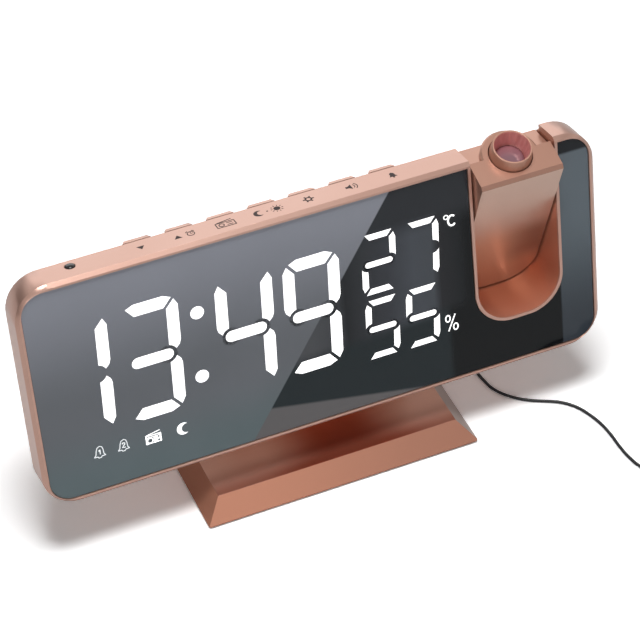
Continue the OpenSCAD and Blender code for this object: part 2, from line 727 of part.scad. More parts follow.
module key(i) at_face() translate([key_x(i), 0, 0]) {
    intersection() {
        translate([0, 0, key_bottom_z]) linear_extrude(key_top_z - key_bottom_z)
            polygon([[-key_w / 2, key_y], [key_w / 2, key_y], [key_w / 2 - 1, key_y + key_out],
                [1 - key_w / 2, key_y + key_out]]);
        across(-key_w, key_w) polygon([[0, 0], [key_y + key_out, 0],
            [key_y + key_out, key_top_z - key_back_bevel[1]],
            [key_y + key_out - key_back_bevel[0], key_top_z], [0, key_top_z]]);
    }
    block([0.9 - key_w / 2, flange_back - eps, key_bottom_z + 0.2],
        [key_w / 2 - 0.9, key_y + eps, key_bottom_z + 2.8]);
    block([-key_w / 2 - 0.9, flange_front, key_bottom_z - 1.2],
        [key_w / 2 + 0.9, flange_back, key_bottom_z + 2.8]);
}

module key_down() color([0.87, 0.68, 0.61]) key(0);
module key_up() color([0.87, 0.68, 0.61]) key(1);
module key_radio() color([0.87, 0.68, 0.61]) key(2);
module key_snooze() color([0.87, 0.68, 0.61]) key(3);
module key_set() color([0.87, 0.68, 0.61]) key(4);
module key_volume() color([0.87, 0.68, 0.61]) key(5);
module key_alarm() color([0.87, 0.68, 0.61]) key(6);

// ---- Stand ----

foot_edge_z = pad_t + foot_edge_h;

module foot_form() intersection() {
    across(-foot_w / 2, foot_w / 2) polygon([[-foot_d / 2, pad_t], [foot_d / 2, pad_t],
        [foot_d / 2, foot_edge_z], [foot_d / 2 - foot_bevel_y, foot_h],
        [foot_bevel_y - foot_d / 2, foot_h], [-foot_d / 2, foot_edge_z]]);
    plate(-foot_d / 2, foot_d) polygon([[-foot_w / 2, pad_t], [foot_w / 2, pad_t],
        [foot_w / 2, foot_edge_z], [foot_w / 2 - foot_bevel_x, foot_h],
        [foot_bevel_x - foot_w / 2, foot_h], [-foot_w / 2, foot_edge_z]]);
    linear_extrude(far) rounded_rect(foot_w, foot_d, foot_corner_r);
}

module stand() color([0.76, 0.55, 0.46]) difference() {
    union() {
        foot_form();
        across(-neck_w / 2, neck_w / 2) polygon([[neck_front_y, foot_edge_z],
            [neck_front_y, row_z(frame_d, -half_h) + 8],
            [row_y(cover_floor_y, neck_top_z), row_z(cover_floor_y, neck_top_z)],
            [row_y(cover_back_y + neck_flange_t, neck_top_z),
                row_z(cover_back_y + neck_flange_t, neck_top_z)],
            [neck_back_y, foot_edge_z + 3], [neck_back_y, foot_edge_z]]);
    }
    at_face() {
        across(-far, far) polygon(cover_side(0));
        block([-far, -far, -half_h], [far, frame_d + eps, far]);
        for (sx = [-1, 1]) {
            bar(sx * stand_screw_x, stand_screw_z, cover_floor_y, far, screw_r + 0.15);
            bar(sx * stand_screw_x, stand_screw_z, cover_back_y + stand_web, far, screw_head_r + 0.3);
        }
    }
}

module stand_pad() color([0.12, 0.12, 0.12]) linear_extrude(pad_t)
    rounded_rect(foot_w - 1.2, foot_d - 1.2, foot_corner_r);

module stand_screws() color([0.3, 0.3, 0.32]) at_face() for (sx = [-1, 1]) {
    bar(sx * stand_screw_x, stand_screw_z, cover_back_y - screw_grip,
        screw_grip + stand_web + eps, screw_r);
    bar(sx * stand_screw_x, stand_screw_z, cover_back_y + stand_web, screw_head_t, screw_head_r);
}

// ---- Antenna ----

module antenna_grommet() color([0.08, 0.08, 0.08]) at_face() {
    bar(grommet_x, grommet_z, cover_floor_y - 1, cover_wall + 1 + eps, grommet_r);
    bar(grommet_x, grommet_z, cover_back_y, 1.2, grommet_r + 0.9);
    bar(grommet_x, grommet_z, cover_back_y + 1.2 - eps,
        grommet_end - cover_back_y - 1.2 + eps, wire_d / 2 + 0.25, grommet_r - 0.6);
}

// A smooth curve through the route's points
function route_point(i) = wire_route[max(0, min(len(wire_route) - 1, i))];
function spline(a, b, c, d, t) = 0.5 * (2 * b + (c - a) * t + (2 * a - 5 * b + 4 * c - d) * t * t
    + (3 * b - a - 3 * c + d) * t * t * t);
wire_path = [for (i = [0:len(wire_route) - 2], k = [0:wire_steps - 1])
    spline(route_point(i - 1), route_point(i), route_point(i + 1), route_point(i + 2),
        k / wire_steps), wire_route[len(wire_route) - 1]];

function unit(v) = v / norm(v);
function tangent(i) = unit(wire_path[min(len(wire_path) - 1, i + 1)] - wire_path[max(0, i - 1)]);

// Each ring's sideways direction turns with the path, so the tube does not twist
function sideways(i) = i == 0 ? [1, 0, 0] : let (t = tangent(i), s = sideways(i - 1))
    unit(s - (s * t) * t);

module antenna_wire() color([0.06, 0.06, 0.06]) {
    sides = 8;
    rings = len(wire_path);
    points = [for (i = [0:rings - 1]) let (s = sideways(i), u = cross(tangent(i), s))
        for (k = [0:sides - 1])
            wire_path[i] + wire_d / 2 * (s * cos(k * 360 / sides) + u * sin(k * 360 / sides))];
    walls = [for (i = [0:rings - 2], k = [0:sides - 1])
        [i * sides + k, i * sides + (k + 1) % sides, (i + 1) * sides + (k + 1) % sides,
            (i + 1) * sides + k]];
    polyhedron(points, concat([[for (k = [sides - 1:-1:0]) k]], walls,
        [[for (k = [0:sides - 1]) (rings - 1) * sides + k]]));
}

module antenna_coil() color([0.06, 0.06, 0.06]) translate([coil_at[0], coil_at[1], coil_h / 2])
    rotate_extrude() translate([coil_turn_r, 0]) rounded_rect(2 * coil_half, coil_h, 1);

front_frame();
mirror_panel();
display_segments();
display_reflector();
main_board();
tact_switches();
light_sensor();
climate_sensor();
speaker();
rear_cover();
housing_screws();
battery_contacts();
coin_cell();
battery_door();
usb_socket();
dc_socket();
projector_well();
pivot_pins();
pivot_washers();
projector_arm_front();
projector_arm_back();
arm_screws();
lens_barrel();
focus_collar();
projection_lens();
projector_lcd();
projector_lamp();
projector_lamp_board();
key_down();
key_up();
key_radio();
key_snooze();
key_set();
key_volume();
key_alarm();
stand();
stand_pad();
stand_screws();
antenna_grommet();
antenna_wire();
antenna_coil();
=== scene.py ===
"""Looks of a projection alarm clock: rose paint, smoky mirror, lit figures, lens, wire and studio."""
import math

import bmesh
import bpy
from mathutils import Matrix, Vector


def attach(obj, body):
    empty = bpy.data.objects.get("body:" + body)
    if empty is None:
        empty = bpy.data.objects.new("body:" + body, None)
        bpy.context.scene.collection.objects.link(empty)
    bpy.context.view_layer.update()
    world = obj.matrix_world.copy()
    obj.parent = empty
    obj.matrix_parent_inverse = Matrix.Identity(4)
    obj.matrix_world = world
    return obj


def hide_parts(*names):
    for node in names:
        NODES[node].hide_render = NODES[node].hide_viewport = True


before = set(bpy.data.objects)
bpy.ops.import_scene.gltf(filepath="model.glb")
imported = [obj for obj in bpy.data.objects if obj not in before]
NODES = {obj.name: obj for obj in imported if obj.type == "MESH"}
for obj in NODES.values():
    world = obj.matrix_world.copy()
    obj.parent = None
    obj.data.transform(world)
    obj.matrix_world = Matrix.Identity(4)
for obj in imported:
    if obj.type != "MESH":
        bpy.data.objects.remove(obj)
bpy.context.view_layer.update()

MM = 0.001


def add_object(name, data):
    """A new object, linked to the scene."""
    made = bpy.data.objects.new(name, data)
    bpy.context.scene.collection.objects.link(made)
    return made


# ---- Where the face and the arm lie: the same sizes as the part's own, in metres ----

LEAN = math.radians(12.3)
BODY_HALF_H = 0.038
BODY_LIFT = 0.0192          # height of the face's lower edge above the table
FACE_CENTRE = Vector((0, -0.0059, BODY_LIFT + BODY_HALF_H * math.cos(LEAN)))
FACE = Matrix.Translation(FACE_CENTRE) @ Matrix.Rotation(-LEAN, 4, "X")
PIVOT = Vector((0.0656, 0.0092, 0.0203))
ARM_TILT = math.radians(27.2)

# ---- Camera ----

CAMERA_AT = Vector((-0.2329, -0.5320, 0.6075))
CAMERA_TURN = math.radians(23.80)      # to the right of straight ahead
CAMERA_DROP = math.radians(43.83)      # below the horizon
CAMERA_LENS = 149.12                   # millimetres
CAMERA_SENSOR = 36                     # and the sensor's width


def make_camera():
    camera = add_object("camera", bpy.data.cameras.new("camera"))
    camera.data.sensor_width = CAMERA_SENSOR
    camera.data.lens = CAMERA_LENS
    camera.data.clip_start = 0.02
    camera.data.clip_end = 20
    camera.location = CAMERA_AT
    camera.rotation_euler = (math.pi / 2 - CAMERA_DROP, 0, -CAMERA_TURN)
    bpy.context.scene.camera = camera


make_camera()

# ---- Shader maths ----


class Shade:
    """A socket of a material's nodes; numbers and other sockets can be added to it and so on."""

    def __init__(self, finish, socket):
        self.finish = finish
        self.socket = socket

    def maths(self, operation, *others):
        values = dict(enumerate((self, *others)))
        return self.finish.node("ShaderNodeMath", {"operation": operation}, values)

    def __add__(self, other):
        return self.maths("ADD", other)

    __radd__ = __add__

    def __mul__(self, other):
        return self.maths("MULTIPLY", other)

    __rmul__ = __mul__

    def __sub__(self, other):
        return self.maths("SUBTRACT", other)

    def __rsub__(self, other):
        return self.finish.node("ShaderNodeMath", {"operation": "SUBTRACT"}, {0: other, 1: self})

    def __truediv__(self, other):
        return self.maths("DIVIDE", other)

    def __pow__(self, other):
        return self.maths("POWER", other)

    def __abs__(self):
        return self.maths("ABSOLUTE")

    def maximum(self, other):
        return self.maths("MAXIMUM", other)

    def ramp(self, low, high):
        """0 below low, 1 above high, smooth between."""
        return self.finish.node("ShaderNodeMapRange", {"interpolation_type": "SMOOTHSTEP"},
                                {"Value": self, "From Min": low, "From Max": high})

    def edge(self, place, half_width):
        """0 below place, 1 above it, over a step of twice half_width."""
        return self.ramp(place - half_width, place + half_width)


class Nodes:
    """A node tree, built one node at a time."""

    def __init__(self, tree):
        self.tree = tree
        self.tree.nodes.clear()

    def node(self, kind, settings=None, values=None, out=0):
        made = self.tree.nodes.new(kind)
        for key, value in (settings or {}).items():
            if key == "stops":
                self.set_stops(made.color_ramp, value)
            else:
                setattr(made, key, value)
        for key, value in (values or {}).items():
            socket = made.inputs[key]
            if isinstance(value, Shade):
                self.tree.links.new(value.socket, socket)
            elif socket.type == "RGBA":
                socket.default_value = (*value, 1)
            else:
                socket.default_value = value
        return Shade(self, made.outputs[out]) if made.outputs else None

    def set_stops(self, ramp, stops):
        while len(ramp.elements) < len(stops):
            ramp.elements.new(0.5)
        for element, (place, colour) in zip(ramp.elements, stops):
            element.position = place
            element.color = (*colour, 1)

    def split(self, vector):
        parts = self.node("ShaderNodeSeparateXYZ", values={0: vector})
        outputs = parts.socket.node.outputs
        return [Shade(self, outputs[i]) for i in range(3)]


# Sprayed paint, in metres: its metal flakes, its orange-peel skin and its slow colour drift
FLAKE = 0.00016
FLAKE_DEPTH = 0.000004
SKIN = 0.0009
SKIN_DEPTH = 0.000008
DRIFT = 0.035


class Finish(Nodes):
    """A procedural material for one kind of surface."""

    def __init__(self, name):
        self.material = bpy.data.materials.new(name)
        self.material.use_nodes = True
        self.surface = None
        super().__init__(self.material.node_tree)

    def place(self):
        """The surface's own coordinates: the clock's frame, in metres, at rest."""
        return self.node("ShaderNodeTexCoord", out="Object")

    def turned(self, vector, origin, angle):
        """The vector from origin, turned about x."""
        moved = self.node("ShaderNodeVectorMath", {"operation": "SUBTRACT"}, {0: vector, 1: origin})
        return self.node("ShaderNodeVectorRotate", {"rotation_type": "X_AXIS"},
                         {"Vector": moved, "Angle": angle})

    def face_place(self):
        """Coordinates on the leaning face: x across, y rearwards, z up the face."""
        return self.turned(self.place(), FACE_CENTRE, LEAN)

    def arm_place(self):
        """Coordinates in the projector arm, from its hinge, z along the lens axis."""
        return self.turned(self.face_place(), PIVOT, -ARM_TILT)

    def noise(self, size, detail=2, place=None):
        """Even noise about 0.5, with cells about size metres wide."""
        return self.node("ShaderNodeTexNoise", values={
            "Vector": place or self.place(), "Scale": 1 / size, "Detail": detail})

    def mix(self, low, high, factor):
        """A colour between low and high."""
        return self.node("ShaderNodeMix", {"data_type": "RGBA"}, {0: factor, 6: low, 7: high}, out=2)

    def bump(self, height, depth, normal=None):
        """The normal of a surface whose height goes from 0 to depth metres."""
        values = {"Height": height, "Distance": depth, "Strength": 1.0}
        if normal is not None:
            values["Normal"] = normal
        return self.node("ShaderNodeBump", values=values)

    def paint_skin(self, flakes):
        """The normal of sprayed paint: its flakes on a faint orange-peel skin."""
        return self.bump(flakes, FLAKE_DEPTH, self.bump(self.noise(SKIN), SKIN_DEPTH))

    def principled(self, **values):
        named = {key.replace("_", " "): value for key, value in values.items()}
        self.surface = self.node("ShaderNodeBsdfPrincipled", values=named)
        return self

    def done(self):
        self.node("ShaderNodeOutputMaterial", values={"Surface": self.surface})
        return self.material


def srgb(red, green, blue):
    """A linear colour from the 0 to 255 values of a colour chart."""
    def linear(value):
        value /= 255
        return value / 12.92 if value <= 0.04045 else ((value + 0.055) / 1.055) ** 2.4
    return (linear(red), linear(green), linear(blue))


def darker(colour, share):
    return tuple(part * share for part in colour)


# ---- Finishes ----

ARM_COLOUR = srgb(202, 154, 134)
ARM_SHADOW = srgb(190, 138, 117)
# Painted shade: the darker line along the arm's brow
ARM_BROW_SHADE = srgb(168, 124, 106)
ARM_FACE_Y = -0.009275      # where the arm's front face gives way to its sides, from the hinge
BROW_SHADE_LINE = 0.02595         # height less depth of the edge where its top meets its front face, where the line of painted shade runs
LIP_DEPTH = (0.0002, 0.0008)    # over which the well's lip turns into its wall


def metallic_paint(name, colour, shadow, metallic, roughness, lip=None):
    """Satin paint with fine metal flakes, slow colour drift and a faint orange-peel skin.
    Where lip is given, the part that stands at the face's front has that colour."""
    finish = Finish(name)
    drift = finish.noise(DRIFT).ramp(0.3, 0.7)
    flakes = finish.noise(FLAKE, 1)
    shade = finish.mix(colour, shadow, drift * 0.35 + (flakes - 0.5) * 0.35)
    if lip:
        depth = finish.split(finish.face_place())[1]
        shade = finish.mix(lip, shade, depth.ramp(*LIP_DEPTH))
    return finish.principled(Base_Color=shade, Metallic=metallic, Coat_Weight=0.3,
                             Coat_Roughness=0.2, Roughness=roughness + (flakes - 0.5) * 0.01,
                             Normal=finish.paint_skin(flakes)).done()


def arm_paint():
    """The arm's finish, with light painted on its front: a pale painted highlight below its brow, a
    warm painted sheen towards its tip with painted shade on the tip's right, and a line of painted
    shade along the brow.
    """
    finish = Finish("arm_paint")
    x, y, z = finish.split(finish.arm_place())
    flakes = finish.noise(FLAKE, 1)
    drift = finish.noise(DRIFT).ramp(0.3, 0.7)
    sides = finish.mix(ARM_COLOUR, ARM_SHADOW, drift * 0.35)
    # Painted light on the front face: a warm pale painted sheen low down, painted shade towards the
    # right of the tip, and a paler painted highlight higher up
    tip_shade = x.ramp(-0.004, 0.010) * z.ramp(-0.032, -0.022)
    low = finish.mix(srgb(230, 184, 158), srgb(182, 142, 122), tip_shade)
    front = finish.mix(low, srgb(226, 190, 172), z.ramp(-0.015, -0.005))
    shade = finish.mix(front, sides, y.edge(ARM_FACE_Y, 0.000075))
    # Painted shade: a darker line along the brow edge
    shade = finish.mix(shade, ARM_BROW_SHADE, (z - y).edge(BROW_SHADE_LINE, 0.00005))
    shade = finish.mix(shade, ARM_SHADOW, (flakes - 0.5) * 0.35)
    return finish.principled(Base_Color=shade, Metallic=0.65, Coat_Weight=0.3, Coat_Roughness=0.2,
                             Roughness=0.32 + (flakes - 0.5) * 0.01,
                             Normal=finish.paint_skin(flakes)).done()


STAND_TOP = 0.007           # height of the foot's level top
STAND_SHADE_X = 0.004      # where the painted shade on that top is darkest, below the body
STAND_SIDE_X = 0.0403       # where its side bevel starts
STAND_END_Y = 0.0182        # and its front and rear bevels, on either side of the middle


def stand_paint():
    """The foot's finish, with light painted on it: on the level top, painted shade along the front
    and in the middle below the body, and a pale painted highlight at the ends, where the paint is
    also less metallic;
    the bevels painted lighter on the left than on the right, and the right bevel painted greyer as a
    painted reflection of the floor."""
    finish = Finish("stand_paint")
    x, y, z = finish.split(finish.place())
    flakes = finish.noise(FLAKE, 1)
    off_middle = abs(x - STAND_SHADE_X)
    level = z.ramp(STAND_TOP - 0.0001, STAND_TOP - 0.00002)
    level = level * (1 - z.ramp(STAND_TOP + 0.0004, STAND_TOP + 0.0006))
    # Painted highlight: the level top's ends, away from the middle and behind its front strip
    ends = off_middle.ramp(0.004, 0.026) * y.ramp(-0.0180, -0.0070) * level
    # Painted light: the bevels lighter on the left than on the right
    bevel = finish.mix(srgb(206, 144, 118), srgb(184, 130, 108), x.ramp(-0.035, 0.040))
    # Painted reflection: the right bevel greyer, as if it mirrored the floor
    right = (x - STAND_SIDE_X - abs(y) + STAND_END_Y).edge(0, 0.0002)
    right = right * x.ramp(STAND_SIDE_X - 0.0003, STAND_SIDE_X - 0.0001)
    right = right * (1 - y.ramp(0.002, 0.016))
    bevel = finish.mix(bevel, srgb(198, 184, 178), right)
    # Painted shade: the level top darker along its front and in the middle below the body, paler
    # towards the ends
    middle = finish.mix(srgb(150, 78, 58), srgb(206, 128, 102), y.ramp(-STAND_END_Y, -0.0080))
    top = finish.mix(middle, srgb(176, 122, 104), off_middle.ramp(0.012, 0.034))
    top = finish.mix(top, srgb(255, 214, 192), ends)
    shade = finish.mix(finish.mix(bevel, top, level), srgb(190, 128, 106), (flakes - 0.5) * 0.5)
    return finish.principled(Base_Color=shade, Metallic=0.7 + level * 0.15 - ends * 0.85,
                             Roughness=0.5 - level * 0.12 + ends * 0.07,
                             Normal=finish.paint_skin(flakes)).done()


def matte_shell(name, colour, shadow):
    """The fine spark-eroded texture of a moulded back."""
    finish = Finish(name)
    grain = finish.noise(0.00035, 3)
    cloud = finish.noise(0.02, 3).ramp(0.3, 0.7)
    shade = finish.mix(colour, shadow, cloud * 0.4 + (grain - 0.5) * 0.5)
    return finish.principled(Base_Color=shade, Metallic=0.12, Roughness=0.5 + (grain - 0.5) * 0.2,
                             Normal=finish.bump(grain, 0.00003)).done()


def plain_plastic(name, colour, roughness=0.45, grain=0.0006, depth=0.00001):
    """Small plain mouldings: a little mottled, a little uneven."""
    finish = Finish(name)
    mottle = finish.noise(grain, 3)
    return finish.principled(Base_Color=finish.mix(colour, darker(colour, 0.8), mottle),
                             Roughness=roughness + (mottle - 0.5) * 0.15,
                             Normal=finish.bump(mottle, depth)).done()


def plated_metal(name, colour):
    """Turned, plated metal with fine scratches along one way."""
    finish = Finish(name)
    x, y, z = finish.split(finish.place())
    stretched = finish.node("ShaderNodeCombineXYZ", values={0: x * 8, 1: y, 2: z * 8})
    lines = finish.noise(0.0012, 3, stretched)
    return finish.principled(Base_Color=finish.mix(colour, darker(colour, 0.75), lines),
                             Metallic=1.0, Roughness=0.24 + lines * 0.16,
                             Normal=finish.bump(lines, 0.000006)).done()


def circuit_board(name):
    """Solder mask with copper tracks showing through as a lighter green."""
    finish = Finish(name)
    across = finish.node("ShaderNodeTexWave", {"bands_direction": "X"},
                         {"Vector": finish.place(), "Scale": 160.0, "Distortion": 6.0})
    tracks = across.ramp(0.62, 0.7) * finish.noise(0.006, 1).ramp(0.45, 0.55)
    shade = finish.mix(srgb(20, 84, 50), srgb(52, 128, 74), tracks)
    return finish.principled(Base_Color=shade, Roughness=0.3 + (1 - tracks) * 0.12,
                             Normal=finish.bump(tracks, 0.00003)).done()


MIRROR_HALF_H = 0.0362
GLARE_TOP_X = 0.0249        # where the painted sheen's edge meets the mirror's top
GLARE_BOTTOM_X = -0.0262    # and its bottom
REFLECTION_STRIP_X = 0.080             # where the paler painted reflection on the strip beside the projector starts
REFLECTION_COLUMNS_X = -0.004          # where the painted reflection's soft columns start, and how far they reach
REFLECTION_COLUMNS_W = 0.062
# Tones of the painted reflection's soft columns, from left to right
REFLECTION_COLUMNS = [(0.00, srgb(86, 88, 92)), (0.12, srgb(74, 77, 82)), (0.19, srgb(38, 41, 45)),
           (0.30, srgb(56, 59, 64)), (0.42, srgb(64, 67, 74)), (0.56, srgb(82, 87, 95)),
           (0.66, srgb(80, 85, 92)), (0.70, srgb(44, 45, 49)), (0.80, srgb(30, 34, 38)),
           (0.86, srgb(4, 8, 12)), (1.00, srgb(4, 8, 12))]
REFLECTION_FOOT_SLOPE = 0.06           # the deeper painted reflection at the foot rises to the right
REFLECTION_WEDGE_SLOPE = 0.187         # and the edge of the paler painted reflection, a wedge at the bottom, falls


def smoky_mirror_painted_reflections():
    """A half-silvered front, with reflections painted into its colour: a pale painted sheen with a
    slanted edge, then slate with soft painted columns, a deeper painted tone at the foot and a paler
    painted wedge at the bottom, and a steel-grey painted strip beside the projector."""
    finish = Finish("smoky_mirror_painted_reflections")
    x, _, z = finish.split(finish.face_place())
    cloud = finish.noise(0.03, 1)
    slant = (GLARE_TOP_X - GLARE_BOTTOM_X) / (2 * MIRROR_HALF_H)
    past_edge = x - z * slant - (GLARE_TOP_X + GLARE_BOTTOM_X) / 2
    # Painted reflection: the pale sheen, paler towards the top
    sheen = finish.mix(srgb(106, 121, 125), srgb(116, 120, 126), z.ramp(-0.034, -0.010))
    sheen = finish.mix(sheen, srgb(160, 163, 174), z.ramp(-0.006, 0.040) + (cloud - 0.5) * 0.25)
    # Painted reflection: soft columns, darker near the top
    slate = finish.node("ShaderNodeValToRGB", {"stops": REFLECTION_COLUMNS}, {0: (x - REFLECTION_COLUMNS_X) / REFLECTION_COLUMNS_W})
    slate = finish.mix(slate, srgb(50, 53, 58), z.ramp(0.018, 0.026))
    # Painted reflection: deeper at the foot, and a paler wedge at the bottom
    foot = finish.mix(srgb(36, 46, 50), srgb(4, 9, 13), x.ramp(0.040, 0.043))
    slate = finish.mix(foot, slate, (z - x * REFLECTION_FOOT_SLOPE).ramp(-0.016, -0.010))
    slate = finish.mix(srgb(112, 110, 111), slate, (z + x * REFLECTION_WEDGE_SLOPE).edge(-0.0302, 0.0006))
    # Painted reflection on the strip beside the projector, paler towards the top
    strip = finish.mix(srgb(64, 71, 79), srgb(110, 121, 129), z.ramp(-0.03, 0.012))
    strip = finish.mix(strip, srgb(34, 37, 42), z.edge(0.0316, 0.0006))
    slate = finish.mix(slate, strip, x.edge(REFLECTION_STRIP_X, 0.0004))
    shade = finish.mix(sheen, slate, past_edge.edge(0, 0.0003))
    return finish.principled(Base_Color=shade, Metallic=0.0, Roughness=0.06, IOR=1.35).done()


def unlit_mask():
    """The display's dark mask, faintly seen where two bars meet."""
    finish = Finish("unlit_mask")
    shade = finish.mix(srgb(16, 18, 20), srgb(26, 28, 30), finish.noise(0.0008, 1))
    return finish.principled(Base_Color=shade, Roughness=0.1, Alpha=0.065).done()


def sensor_lens():
    """The dark, wet-looking dome over the light sensor."""
    finish = Finish("sensor_lens")
    tint = finish.mix(srgb(10, 10, 12), srgb(30, 26, 28), finish.noise(0.0008, 1))
    return finish.principled(Base_Color=tint, Roughness=0.06, IOR=1.5, Coat_Weight=0.6,
                             Coat_Roughness=0.02).done()


def glow(name, colour, strength):
    """A light guide lit from behind, almost even."""
    finish = Finish(name)
    even = finish.mix(colour, darker(colour, 0.96), finish.noise(0.004))
    return finish.principled(Base_Color=even, Roughness=0.5, Emission_Color=even,
                             Emission_Strength=strength).done()


LENS_RIM = (0.0036, 0.0047)     # where the lens darkens towards its rim
MOUTH_R = 0.00559               # radius of the collar's mouth


def lens_glass():
    """A coated glass lens: dusky mauve in the middle, deeper towards its rim."""
    finish = Finish("lens_glass")
    x, y, _ = finish.split(finish.arm_place())
    off_axis = (x * x + y * y) ** 0.5
    inside = finish.mix(srgb(128, 100, 110), srgb(146, 98, 106), y.ramp(-0.004, 0.005))
    shade = finish.mix(inside, srgb(112, 70, 76), off_axis.ramp(*LENS_RIM))
    return finish.principled(Base_Color=shade, Roughness=0.05, IOR=1.5, Coat_Weight=0.8,
                             Coat_Roughness=0.03).done()


def collar_paint():
    """The arm's paint outside, and a mouth painted pink-red with soft streaks, as painted light from
    the projector's red lamp.
    """
    finish = Finish("collar_paint")
    x, y, _ = finish.split(finish.arm_place())
    off_axis = (x * x + y * y) ** 0.5
    flakes = finish.noise(FLAKE, 1)
    outside = finish.mix(ARM_COLOUR, ARM_SHADOW, flakes * 0.6)
    # Painted light: streaks of the red lamp's light inside the mouth
    red_light_streaks = finish.noise(0.0011, 1, finish.node("ShaderNodeCombineXYZ", values={0: x, 1: y}))
    mouth = finish.mix(srgb(244, 182, 176), srgb(234, 164, 158), red_light_streaks.ramp(0.3, 0.7))
    shade = finish.mix(mouth, outside, off_axis.edge(MOUTH_R, 0.00003))
    return finish.principled(Base_Color=shade, Metallic=0.5, Roughness=0.36 + flakes * 0.06,
                             Normal=finish.bump(flakes, FLAKE_DEPTH)).done()


def dark_window():
    """Dark red filter plastic, as over a sensor."""
    finish = Finish("dark_window")
    shade = finish.mix(srgb(24, 18, 20), srgb(70, 30, 30), finish.noise(0.0006))
    return finish.principled(Base_Color=shade, Roughness=0.08, Coat_Weight=0.6).done()


def wire_rubber():
    """The wire's black jacket."""
    finish = Finish("wire_rubber")
    grain = finish.noise(0.0005, 3)
    shade = finish.mix(srgb(20, 20, 22), srgb(38, 38, 40), grain)
    return finish.principled(Base_Color=shade, Roughness=0.42 + grain * 0.12,
                             Normal=finish.bump(grain, 0.00001)).done()


def foot_rubber():
    """The dull pad under the foot."""
    finish = Finish("foot_rubber")
    grain = finish.noise(0.0004, 3)
    shade = finish.mix(srgb(46, 42, 42), srgb(70, 66, 66), grain)
    return finish.principled(Base_Color=shade, Roughness=0.8,
                             Normal=finish.bump(grain, 0.00005)).done()


FRAME_PAINT = metallic_paint("frame_paint", srgb(214, 172, 156), srgb(196, 148, 130), 0.7, 0.28)
KEY_PAINT = metallic_paint("key_paint", srgb(214, 173, 158), srgb(198, 150, 133), 0.7, 0.28)
# The well's paint: a warmer copper tone of its own, made paler and redder than the frame's as painted
# light bouncing inside the recess; its lip keeps the frame's colour
WELL_PAINT = metallic_paint("well_paint", srgb(228, 168, 142), srgb(214, 148, 122), 0.6, 0.32,
                            lip=srgb(214, 170, 154))
ARM_PAINT = arm_paint()
COLLAR_PAINT = collar_paint()
STAND_PAINT = stand_paint()
COVER_SHELL = matte_shell("cover_shell", srgb(208, 160, 143), srgb(190, 138, 120))
MIRROR = smoky_mirror_painted_reflections()
MASK = unlit_mask()
SENSOR_LENS = sensor_lens()
LENS = lens_glass()
WINDOW = dark_window()
FIGURE_LIGHT = glow("figure_light", srgb(252, 252, 252), 1.0)
ICON_LIGHT = glow("icon_light", srgb(225, 228, 230), 0.75)
PRINT_INK = plain_plastic("print_ink", srgb(52, 34, 32), 0.55, 0.0003, 0.000002)
WHITE_PLASTIC = plain_plastic("white_plastic", srgb(236, 236, 232), 0.5)
BLACK_PLASTIC = plain_plastic("black_plastic", srgb(34, 34, 36), 0.5)
LAMP_RED = plain_plastic("lamp_red", srgb(220, 60, 50), 0.2)
STEEL = plated_metal("plated_steel", srgb(196, 196, 200))
DARK_STEEL = plated_metal("dark_steel", srgb(96, 94, 96))
BRASS = plated_metal("bright_brass", srgb(214, 190, 130))
BOARD = circuit_board("circuit_board")
WIRE = wire_rubber()
PAD = foot_rubber()

NODE_FINISH = {
    "front_frame": FRAME_PAINT, "mirror_panel": MIRROR, "display_segments": WHITE_PLASTIC,
    "display_reflector": WHITE_PLASTIC, "main_board": BOARD, "tact_switches": BLACK_PLASTIC,
    "light_sensor": WINDOW, "climate_sensor": WHITE_PLASTIC, "speaker": BLACK_PLASTIC,
    "rear_cover": COVER_SHELL, "housing_screws": DARK_STEEL, "battery_contacts": BRASS,
    "coin_cell": STEEL, "battery_door": COVER_SHELL, "usb_socket": STEEL,
    "dc_socket": BLACK_PLASTIC, "projector_well": WELL_PAINT, "pivot_pins": STEEL,
    "pivot_washers": WHITE_PLASTIC, "projector_arm_front": ARM_PAINT,
    "projector_arm_back": ARM_PAINT, "arm_screws": DARK_STEEL, "lens_barrel": BLACK_PLASTIC,
    "focus_collar": COLLAR_PAINT, "projection_lens": LENS, "projector_lcd": WINDOW,
    "projector_lamp": LAMP_RED, "projector_lamp_board": BOARD, "stand": STAND_PAINT,
    "stand_pad": PAD, "stand_screws": DARK_STEEL, "antenna_grommet": WIRE,
    "antenna_wire": WIRE, "antenna_coil": WIRE,
}

# Widths of the rounded edges, in millimetres
EDGE_WIDTH = {
    "front_frame": 0.12, "projector_well": 0.1, "projector_arm_front": 0.12,
    "projector_arm_back": 0.12, "stand": 0.14, "focus_collar": 0.12, "rear_cover": 0.25,
    "battery_door": 0.25, "mirror_panel": 0.1,
}
SMALL_EDGE = 0.08
TIE_EDGE = 0.25


def round_edges(piece, width_mm):
    """Softens a solid's edges as a mould does."""
    weld = piece.modifiers.new("weld", "WELD")
    weld.merge_threshold = 0.000002
    flat = piece.modifiers.new("flat", "DECIMATE")
    flat.decimate_type = "DISSOLVE"
    flat.angle_limit = math.radians(0.6)
    bevel = piece.modifiers.new("edges", "BEVEL")
    bevel.width = width_mm * MM
    bevel.segments = 2
    bevel.limit_method = "ANGLE"
    bevel.angle_limit = math.radians(28)
    bevel.use_clamp_overlap = True
    bevel.harden_normals = True


for name, node in NODES.items():
    node.data.materials.clear()
    node.data.materials.append(KEY_PAINT if name.startswith("key_") else NODE_FINISH[name])
    round_edges(node, EDGE_WIDTH.get(name, SMALL_EDGE))

# ---- The antenna wire, the same route as the part's own, then its coil ----

